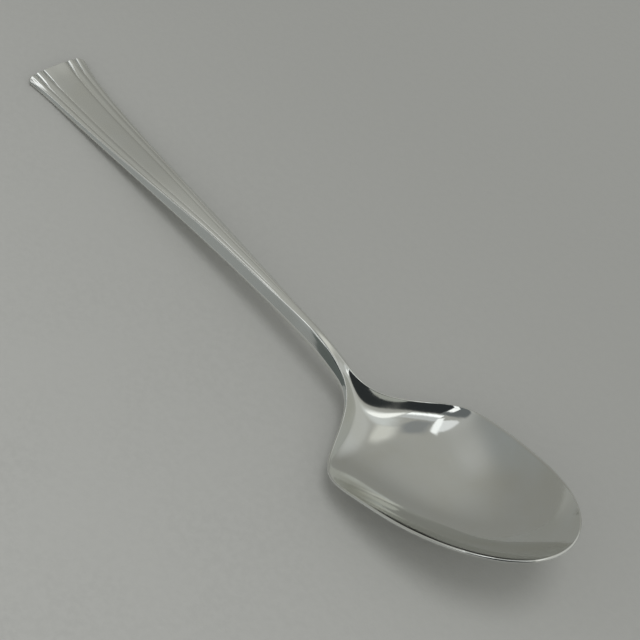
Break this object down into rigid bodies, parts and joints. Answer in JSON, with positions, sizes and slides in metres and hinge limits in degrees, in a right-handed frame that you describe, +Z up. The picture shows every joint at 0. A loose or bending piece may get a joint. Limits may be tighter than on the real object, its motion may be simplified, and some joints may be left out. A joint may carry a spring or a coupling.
{
  "type": "tablespoon",
  "caption": "Polished silver tablespoon with a straight reeded fan handle, a slim neck and a deep egg-shaped bowl, lying face up on a table.",
  "frame": {"origin": "table level under the middle of the spoon's length and width", "axes": "+X from the handle's end to the bowl's tip, +Z up out of the bowl, the spoon is symmetric about the XZ plane"},
  "size_m": [0.2, 0.0406, 0.0262],
  "materials": {
    "silver": "polished silver plate"
  },
  "bodies": {
    "root": {"spoon": "silver"}
  },
  "joints": []
}
